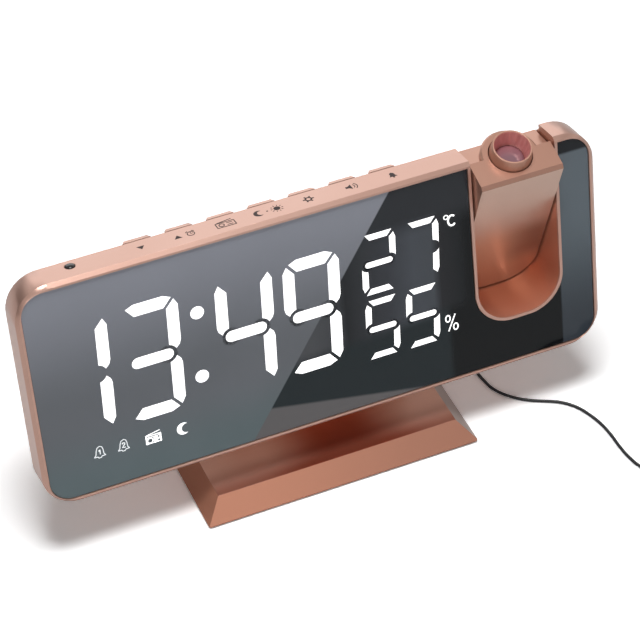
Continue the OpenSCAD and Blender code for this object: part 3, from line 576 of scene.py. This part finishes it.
WIRE_D = 1.0
ROUTE = [(52, 18.7, 23.3), (52, 21.5, 22.6), (52.2, 24.1, 21.2), (52.5, 26.2, 18.9),
         (52.9, 27.6, 16), (53.3, 28.3, 12.7), (53.7, 28.4, 9.3), (54.1, 27.9, 6),
         (54.6, 26.6, 3.2), (55.2, 24.4, 1.4), (56, 21.3, 0.6), (56.9, 17.5, 0.5),
         (57.7, 13, 0.5), (58.4, 8, 0.5), (58.9, 3, 0.5), (59.4, -1, 0.5), (60.1, -4.5, 0.5),
         (61.6, -7.6, 0.5), (63.7, -10.3, 0.5), (66.1, -12.6, 0.5), (68.8, -14.5, 0.5),
         (71.6, -16.1, 0.5), (74.4, -17.5, 0.5), (77.2, -19.2, 0.5), (79.6, -21.4, 0.5),
         (81.7, -24.3, 0.5), (83.3, -28, 0.5), (84.6, -32.4, 0.5), (85.3, -37.8, 0.5),
         (85.4, -43.8, 0.5), (85.9, -49.4, 0.5), (87.4, -54.6, 0.5), (90.5, -58.8, 0.5),
         (95, -61.5, 0.5), (100.8, -62.7, 0.5), (107, -63, 0.5), (113, -63, 0.5)]
COIL_AT = (113, -54)
COIL_INNER_R = 3.0
COIL_ROWS = 5
COIL_COLUMNS = 6
TURN_POINTS = 16
TURN_FLAT = 0.75            # share of a turn before the wire steps over to the next


def coil_points():
    """Turns beside and on each other, inwards and outwards in layers, a wire's width apart."""
    radii = [COIL_INNER_R + WIRE_D * column for column in range(COIL_COLUMNS)]
    turns = []
    for row in range(COIL_ROWS):
        ordered = radii[::-1] if row % 2 == 0 else radii
        turns += [(radius, WIRE_D * (row + 0.5)) for radius in ordered]
    points = []
    for (radius, height), (next_radius, next_height) in zip(turns, turns[1:] + turns[-1:]):
        for i in range(TURN_POINTS):
            part = i / TURN_POINTS
            over = max(0, (part - TURN_FLAT) / (1 - TURN_FLAT))
            r = radius + (next_radius - radius) * over
            angle = -math.pi / 2 + 2 * math.pi * part
            points.append((COIL_AT[0] + r * math.cos(angle), COIL_AT[1] + r * math.sin(angle),
                           height + (next_height - height) * over))
    return points[1:]


def add_wire(points):
    """The whole wire as one smooth tube, in place of its two solids."""
    curve = bpy.data.curves.new("antenna_lead", "CURVE")
    curve.dimensions = "3D"
    curve.bevel_depth = WIRE_D / 2 * MM
    curve.bevel_resolution = 3
    curve.resolution_u = 4
    curve.use_fill_caps = True
    line = curve.splines.new("BEZIER")
    line.bezier_points.add(len(points) - 1)
    for spot, point in zip(line.bezier_points, points):
        spot.co = Vector(point) * MM
        spot.handle_left_type = spot.handle_right_type = "AUTO"
    wire = add_object("antenna_lead", curve)
    curve.materials.append(WIRE)
    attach(wire, "clock")
    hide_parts("antenna_wire", "antenna_coil")
    return wire


TIE_TURN = math.radians(60)
TIE_HALF_W = 0.9
TIE_T = 0.3


def add_tie():
    """A flat strap round the coil's turns."""
    inner = COIL_INNER_R - WIRE_D / 2
    outer = inner + WIRE_D * COIL_COLUMNS
    low, high = 0.05, WIRE_D * COIL_ROWS + TIE_T
    section = [(inner - TIE_T, low), (outer + TIE_T, low), (outer + TIE_T, high),
               (inner - TIE_T, high)]
    along = Vector((math.cos(TIE_TURN), math.sin(TIE_TURN), 0))
    across = Vector((-along.y, along.x, 0))
    middle = Vector((*COIL_AT, 0))
    rings = [[middle + along * r + across * side + Vector((0, 0, z)) for r, z in section]
             for side in (-TIE_HALF_W, TIE_HALF_W)]
    corners = [corner * MM for ring in rings for corner in ring]
    faces = [(i, (i + 1) % 4, 4 + (i + 1) % 4, 4 + i) for i in range(4)]
    mesh = bpy.data.meshes.new("lead_tie")
    mesh.from_pydata(corners, [], faces + [(3, 2, 1, 0), (4, 5, 6, 7)])
    mesh.materials.append(BLACK_PLASTIC)
    tie = add_object("lead_tie", mesh)
    round_edges(tie, TIE_EDGE)
    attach(tie, "clock")
    return tie


lead_points = ROUTE + coil_points()
lead = add_wire(lead_points)
tie = add_tie()

# ---- Flat shapes on the face and the top, in millimetres ----


def plate_mesh(name, outlines, matrix, thickness, finish):
    """One object of flat closed shapes, drawn in the plane x, z of matrix and thickened along y."""
    mesh = bpy.data.meshes.new(name)
    shape = bmesh.new()
    for outline in outlines:
        front = [shape.verts.new(matrix @ Vector((u, 0, v))) for u, v in outline]
        back = [shape.verts.new(matrix @ Vector((u, thickness, v))) for u, v in outline]
        shape.faces.new(front)
        shape.faces.new(back[::-1])
        for i in range(len(outline)):
            j = (i + 1) % len(outline)
            shape.faces.new((front[i], back[i], back[j], front[j]))
    bmesh.ops.recalc_face_normals(shape, faces=shape.faces)
    shape.to_mesh(mesh)
    shape.free()
    mesh.materials.append(finish)
    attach(add_object(name, mesh), "clock")


def placed(parts, cx, cz, size=1.0):
    """Shapes drawn about the origin, moved to cx, cz."""
    return [[(cx + u * size, cz + v * size) for u, v in part] for part in parts]


def arc(cx, cz, r, start, stop, steps):
    """Points on an arc, angles in degrees."""
    turns = [math.radians(start + (stop - start) * i / steps) for i in range(steps + 1)]
    return [(cx + r * math.cos(a), cz + r * math.sin(a)) for a in turns]


def oval(cx, cz, half_w, half_h, start, stop, steps=20):
    return [(cx + half_w * u, cz + half_h * v) for u, v in arc(0, 0, 1, start, stop, steps)]


def dot(cx, cz, r, steps=28):
    """A round spot."""
    return arc(cx, cz, r, 0, 360 * (1 - 1 / steps), steps - 1)


def between(outer, inner):
    """Four-cornered pieces between two rows of points."""
    return [[outer[i], outer[i + 1], inner[i + 1], inner[i]] for i in range(len(outer) - 1)]


def ring(cx, cz, r, width, steps=24):
    return between(arc(cx, cz, r, 0, 360, steps), arc(cx, cz, r - width, 0, 360, steps))


def crescent(cx, cz, size):
    """A moon, between its outer and inner arcs."""
    return between(arc(cx, cz, size, 50, 310, 18),
                   arc(cx + 0.515 * size, cz, 0.777 * size, 80.5, 279.5, 18))


def stroke(points, width):
    """A line of that width through the points, as one closed outline with mitred corners."""
    left, right = [], []
    for i, (u, v) in enumerate(points):
        before = Vector(points[max(0, i - 1)])
        after = Vector(points[min(len(points) - 1, i + 1)])
        way = (after - before).normalized()
        side = Vector((-way.y, way.x)) * width / 2
        left.append((u + side.x, v + side.y))
        right.append((u - side.x, v - side.y))
    return left + right[::-1]


def rays(cx, cz, start, stop, width, count):
    """Strokes that point outwards, evenly round a centre."""
    ways = [2 * math.pi * i / count for i in range(count)]
    return [stroke([(cx + start * math.cos(a), cz + start * math.sin(a)),
                    (cx + stop * math.cos(a), cz + stop * math.sin(a))], width) for a in ways]


LIGHT_T = 0.05              # how far the lit shapes stand in front of the mirror
MASK_T = 0.02


def on_face(depth_mm):
    """A matrix in millimetres for shapes that lie at that depth on the face."""
    return FACE @ Matrix.Translation((0, depth_mm * MM, 0)) @ Matrix.Scale(MM, 4)


def add_lit(name, shapes, light):
    plate_mesh(name, shapes, on_face(-LIGHT_T), LIGHT_T, light)


# Bars of a seven-segment figure about its middle: a level bar at its top, an upright one at its
# upper right, where the middle bar's round ends are centred and their radius, and how far the
# mask reaches past those ends
BIG = {"level": [(-7.1, 18.9), (-4.6, 20), (4.6, 20), (7.1, 18.9), (4.6, 15.9), (-4.6, 15.9)],
       "upright": [(5.4, 15.3), (7.9, 18.2), (9.1, 16), (9.15, 4), (8.7, 2.5)]
       + arc(4.75, 0, 3.05, 24, 78, 5), "middle": (4.75, 1.87), "mask": 1.15}
SMALL = {"level": [(-4.4, 10.4), (4.4, 10.4), (2.9, 8.4), (-2.9, 8.4)],
         "upright": [(3.55, 7.85), (4.95, 9.25), (5.6, 7.5)] + arc(3.55, 0, 2.3, 28, 88, 4),
         "middle": (3.55, 0.96), "mask": 0.75}
LIT = {"1": "bc", "2": "abged", "3": "abgcd", "4": "fgbc", "5": "afgcd", "7": "abc", "9": "abfgcd"}
FIGURES = [("1", -76.3, 3.8, BIG), ("3", -54.2, 3.5, BIG), ("4", -24.5, 3.0, BIG),
           ("9", -2.85, 2.4, BIG), ("2", 19.7, 13.05, SMALL), ("7", 34.0, 12.95, SMALL),
           ("5", 19.2, -9.85, SMALL), ("5", 32.7, -10.2, SMALL)]
FIGURE_LEAN = math.tan(math.radians(2.4))
COLON = [(-38.9, 14.5), (-39.9, -7.6)]
COLON_R = 2.15


def middle_bar(half, r):
    """A level bar with round ends of radius r, half its middles' distance to each side."""
    return arc(half, 0, r, -90, 90, 8) + arc(-half, 0, r, 90, 270, 8)


def figure_bars(digit, cx, cz, cell):
    """The lit bars a to g of one figure, leaning a little."""
    bars = []
    for letter in LIT[digit]:
        if letter == "g":
            bars.append(middle_bar(*cell["middle"]))
            continue
        shape = cell["level" if letter in "ad" else "upright"]
        side = -1 if letter in "ef" else 1
        flip = -1 if letter in "cde" else 1
        bars.append([(side * u, flip * v) for u, v in shape])
    return [[(cx + u + v * FIGURE_LEAN, cz + v) for u, v in bar] for bar in bars]


def mask_discs(digit, cx, cz, cell):
    """The mask round each end of the middle bar that has a lit bar beside it."""
    reach, r = cell["middle"]
    sides = [side for side, letters in ((1, "bc"), (-1, "ef")) if set(letters) & set(LIT[digit])]
    return [dot(cx + side * reach, cz, r + cell["mask"], 20) for side in sides]


def add_figures():
    bars = []
    discs = []
    for digit, cx, cz, cell in FIGURES:
        bars += figure_bars(digit, cx, cz, cell)
        if "g" in LIT[digit]:
            discs += mask_discs(digit, cx, cz, cell)
    bars += [dot(x, z, COLON_R) for x, z in COLON]
    add_lit("lit_figures", bars, FIGURE_LIGHT)
    plate_mesh("display_mask", discs, on_face(-MASK_T), MASK_T, MASK)


PER_CENT_LINE = 0.42


def add_unit_signs():
    """The degree and per cent signs beside the small figures."""
    marks = ring(42.5, 21.6, 0.85, 0.34)
    marks += [stroke(oval(44.4, 20.05, 1.25, 1.75, 48, 318), 0.6)]
    marks += [stroke([(40.85, -18.75), (43.35, -13.05)], PER_CENT_LINE)]
    for cx, cz in ((40.85, -14.15), (43.35, -17.65)):
        for start in (0, 180):
            half = oval(cx, cz, 0.75, 1.15, start, start + 180, 12)
            marks += [stroke(half, PER_CENT_LINE)]
    add_lit("lit_units", marks, FIGURE_LIGHT)


BELL_LINE = 0.26
BELL_LEAN = 0.06
NUMBER_LINE = 0.34


def bell_outline(cx, cz):
    """An alarm bell in thin lines."""
    side = [(-1.8, -1.7), (-1.25, -1.0), (-1.1, 0.4), (-0.75, 1.45), (0, 1.85)]
    outline = side + [(-u, v) for u, v in side[-2::-1]]
    lines = [outline, [(-1.8, -1.7), (-0.6, -1.75)], [(0.6, -1.75), (1.8, -1.7)],
             [(-0.6, -1.75), (-0.4, -2.2), (0.4, -2.2), (0.6, -1.75)]]
    return [stroke([(cx + u + v * BELL_LEAN, cz + v) for u, v in line], BELL_LINE)
            for line in lines]


def radio_sign(cx, cz):
    """A small radio: dial, knob, buttons and aerial, left open in a solid front."""
    half, low, high = 2.5, -1.55, 1.5
    shelf, knob_right, button_right = 0.6, 1.3, 1.95

    def box(left, bottom, right, top):
        return [(left, bottom), (right, bottom), (right, top), (left, top)]

    parts = [box(-half, low, half, low + 0.25), box(-half, high - 0.3, half, high),
             box(-half, shelf, half, shelf + 0.25), box(-half, low, -2.1, high),
             box(0, low, knob_right, shelf), box(button_right, low, half, high),
             box(knob_right, -0.55, button_right, 0),
             stroke([(-2.2, high + 0.1), (2.2, high + 0.95)], 0.28)]
    return placed(parts + ring(-1.15, -0.45, 1.05, 0.35), cx, cz)


def add_icons():
    """Two numbered alarm bells, a radio and a moon."""
    one = [(-0.35, 0.45), (0.1, 0.85), (0.1, -0.85)]
    two = [(-0.5, 0.5), (-0.15, 0.85), (0.3, 0.8), (0.45, 0.4), (-0.5, -0.8), (0.55, -0.8)]
    bells = []
    for cx, cz, number in ((-74.5, -22.7, one), (-66.95, -22.9, two)):
        bells += bell_outline(cx, cz)
        bells += [stroke([(cx + u, cz + v - 0.2) for u, v in number], NUMBER_LINE)]
    add_lit("lit_bells", bells, ICON_LIGHT)
    add_lit("lit_signs", radio_sign(-57.5, -24.0) + crescent(-47.9, -23.8, 2.1), FIGURE_LIGHT)


# ---- Ink pictograms on the top, in front of the keys: x to the right, y to the back ----

PRINT_Y = 5.4
PRINT_T = 0.03
INK_LINE = 0.3
THIN_LINE = 0.26


def arrow_ink(cx, cy, way):
    """A triangle that points back for way 1 and to the front for way -1."""
    return [[(cx - 1.2, cy - 0.9 * way), (cx + 1.2, cy - 0.9 * way), (cx, cy + 0.9 * way)]]


def alarm_clock_ink(cx, cy):
    hands = [(0, 0.75), (0, 0), (0.6, 0)]
    lugs = [[(-1.3, 1.1), (-0.6, 1.6)], [(1.3, 1.1), (0.6, 1.6)]]
    parts = ring(0, 0, 1.25, INK_LINE) + [stroke(hands, THIN_LINE)]
    return placed(parts + [stroke(lug, INK_LINE) for lug in lugs], cx, cy)


def radio_ink(cx, cy):
    corners = [(-2.9, -1.5), (2.9, -1.5), (2.9, 1.15), (-2.9, 1.15)]
    parts = [stroke([a, b], INK_LINE) for a, b in zip(corners, corners[1:] + corners[:1])]
    parts += ring(-1.3, -0.2, 0.95, 0.32, 16)
    parts += [stroke([(0.4, v), (2.2, v)], INK_LINE) for v in (0.4, -0.7)]
    parts += [stroke([(-2.4, 1.35), (2.4, 2.15)], INK_LINE)]
    return placed(parts, cx, cy)


def sun_ink(cx, cy):
    return [dot(cx, cy, 1.05, 18)] + rays(cx, cy, 1.4, 2.0, 0.22, 10)


def gear_ink(cx, cy):
    return ring(cx, cy, 1.15, 0.5) + rays(cx, cy, 1.05, 1.75, 0.5, 6)


def loudspeaker_ink(cx, cy):
    cone = [(-0.9, -0.5), (0, -0.5), (1, -1.4), (1, 1.4), (0, 0.5), (-0.9, 0.5)]
    waves = [stroke(arc(0.8, 0, 1.2, -48, 48, 6), 0.28), stroke(arc(0.8, 0, 2.0, -48, 48, 8), 0.28)]
    return placed([cone] + waves, cx, cy)


def bell_ink(cx, cy):
    bell = [(-1.3, -1.1), (1.3, -1.1), (0.8, -0.4), (0.7, 0.8), (0, 1.4), (-0.7, 0.8), (-0.8, -0.4)]
    return placed([bell, dot(0, -1.5, 0.34, 10)], cx, cy)


def add_top_print():
    """From left to right: down, up and alarm clock, radio, moon and sun, gear, volume, bell."""
    top = FACE @ Matrix.Translation((0, 0, BODY_HALF_H + PRINT_T * MM))
    lie_flat = top @ Matrix.Rotation(-math.pi / 2, 4, "X") @ Matrix.Scale(MM, 4)
    marks = arrow_ink(-51.4, PRINT_Y, -1) + arrow_ink(-40.1, PRINT_Y, 1)
    marks += alarm_clock_ink(-36.0, PRINT_Y - 0.1) + radio_ink(-25.2, PRINT_Y - 0.3)
    marks += crescent(-14.6, PRINT_Y, 1.6) + [dot(-11.9, PRINT_Y, 0.3, 10)]
    marks += sun_ink(-8.8, PRINT_Y) + gear_ink(1.3, PRINT_Y)
    marks += loudspeaker_ink(14.2, PRINT_Y) + bell_ink(28.5, PRINT_Y)
    plate_mesh("top_print", marks, lie_flat, PRINT_T, PRINT_INK)


# ---- The light sensor's dome ----

SENSOR_AT = (-72.9, 6.6)
SENSOR_R = 1.5
SENSOR_RISE = 0.55
SENSOR_RINGS = 5
SENSOR_SIDES = 32


def add_sensor_lens():
    """A shallow dome over the light sensor, in rings from its rim to its crown."""
    shape = bmesh.new()
    turns = [2 * math.pi * k / SENSOR_SIDES for k in range(SENSOR_SIDES)]
    levels = []
    for i in range(SENSOR_RINGS):
        part = math.pi / 2 * i / SENSOR_RINGS
        r = SENSOR_R * math.cos(part)
        rise = SENSOR_RISE * math.sin(part)
        levels.append([shape.verts.new((r * math.cos(a), r * math.sin(a), rise)) for a in turns])
    crown = shape.verts.new((0, 0, SENSOR_RISE))
    for k in range(SENSOR_SIDES):
        j = (k + 1) % SENSOR_SIDES
        for low, high in zip(levels, levels[1:]):
            shape.faces.new((low[k], low[j], high[j], high[k]))
        shape.faces.new((levels[-1][k], levels[-1][j], crown))
    shape.faces.new(levels[0][::-1])
    for face in shape.faces:
        face.smooth = len(face.verts) < 5
    place = Matrix.Translation((SENSOR_AT[0] * MM, SENSOR_AT[1] * MM, BODY_HALF_H))
    bmesh.ops.transform(shape, matrix=FACE @ place @ Matrix.Scale(MM, 4), verts=shape.verts)
    mesh = bpy.data.meshes.new("sensor_lens")
    shape.to_mesh(mesh)
    shape.free()
    mesh.materials.append(SENSOR_LENS)
    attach(add_object("sensor_lens", mesh), "clock")


add_figures()
add_unit_signs()
add_icons()
add_top_print()
add_sensor_lens()

# ---- Studio ----

FLOOR_HALF = 3.0
FLOOR_LIT_R = 0.22          # the lamps light the floor up to here
FLOOR_WHITE_R = 0.6         # and from here it is the plain white backdrop
FLOOR_SEEN = (1.42, 1.44, 1.45)
FLOOR_BOUNCE = (0.78, 0.78, 0.78)
WORLD_LEVEL = 0.13
# Grey levels that glossy paint sees from below the horizon, 0, to overhead, 1
WORLD_SHINE = [(0.47, 0.85), (0.50, 0.3), (0.56, 0.3), (0.62, 0.72), (0.72, 0.7), (0.83, 0.42)]
LAMPS = [("key_light", (-0.03, -0.03, 1.2), (0.42, 0.34), 9.3),
         ("rear_light", (0.25, 1.05, 0.4), (1.1, 0.65), 1.6),
         ("fill_light", (-0.3, -1.1, 0.6), (0.9, 0.9), 2.4)]
LAMP_AIM = Vector((0, 0, 0.05))


def add_floor():
    """A pale floor that keeps the clock's shadow and fades into the white backdrop."""
    mesh = bpy.data.meshes.new("studio_floor")
    corners = [(-FLOOR_HALF, -FLOOR_HALF, 0), (FLOOR_HALF, -FLOOR_HALF, 0),
               (FLOOR_HALF, FLOOR_HALF, 0), (-FLOOR_HALF, FLOOR_HALF, 0)]
    mesh.from_pydata(corners, [], [(0, 1, 2, 3)])
    finish = Finish("studio_floor")
    camera = finish.node("ShaderNodeLightPath", out="Is Camera Ray")
    glossy = finish.node("ShaderNodeLightPath", out="Is Glossy Ray")
    x, y, _ = finish.split(finish.place())
    far = ((x * x + y * y) ** 0.5).ramp(FLOOR_LIT_R, FLOOR_WHITE_R) * camera.maximum(glossy)
    shade = finish.mix(FLOOR_BOUNCE, FLOOR_SEEN, camera)
    lit = finish.node("ShaderNodeBsdfDiffuse", values={"Color": shade})
    white = finish.node("ShaderNodeEmission", values={"Strength": 0.5 + camera * 0.5})
    finish.surface = finish.node("ShaderNodeMixShader", values={0: far, 1: lit, 2: white})
    mesh.materials.append(finish.done())
    add_object("studio_floor", mesh)


def add_world():
    """Even light, white where the camera sees it; in glossy paint, brighter overhead and behind
    the object than along the horizon."""
    world = bpy.data.worlds.new("studio")
    bpy.context.scene.world = world
    world.use_nodes = True
    nodes = Nodes(world.node_tree)
    x, y, z = nodes.split(nodes.node("ShaderNodeTexCoord", out="Generated"))
    camera = nodes.node("ShaderNodeLightPath", out="Is Camera Ray")
    glossy = nodes.node("ShaderNodeLightPath", out="Is Glossy Ray")
    stops = [(place, (level,) * 3) for place, level in WORLD_SHINE]
    room = nodes.node("ShaderNodeValToRGB", {"stops": stops}, {0: z * 0.5 + 0.5})
    corner = (0 - x).ramp(0.2, 0.5) * (1 - z.ramp(0.3, 0.6))
    front = (0 - y).ramp(0.2, 0.6)
    shine = room * (1 - corner * 0.9) + front * (1 - abs(z).ramp(0.05, 0.3)) * 0.75
    strength = WORLD_LEVEL + camera * (1 - WORLD_LEVEL) + glossy * (shine - WORLD_LEVEL)
    back = nodes.node("ShaderNodeBackground", values={"Color": (1, 1, 1), "Strength": strength})
    nodes.node("ShaderNodeOutputWorld", values={"Surface": back})


def add_softbox(name, place, size, power):
    """A rectangular lamp that looks at the clock."""
    light = bpy.data.lights.new(name, "AREA")
    light.shape = "RECTANGLE"
    light.size, light.size_y = size
    light.energy = power
    lamp = add_object(name, light)
    lamp.location = place
    lamp.rotation_euler = (LAMP_AIM - Vector(place)).to_track_quat("-Z", "Y").to_euler()


add_floor()
add_world()
for name, place, size, power in LAMPS:
    add_softbox(name, place, size, power)

bpy.context.scene.view_settings.view_transform = "Standard"
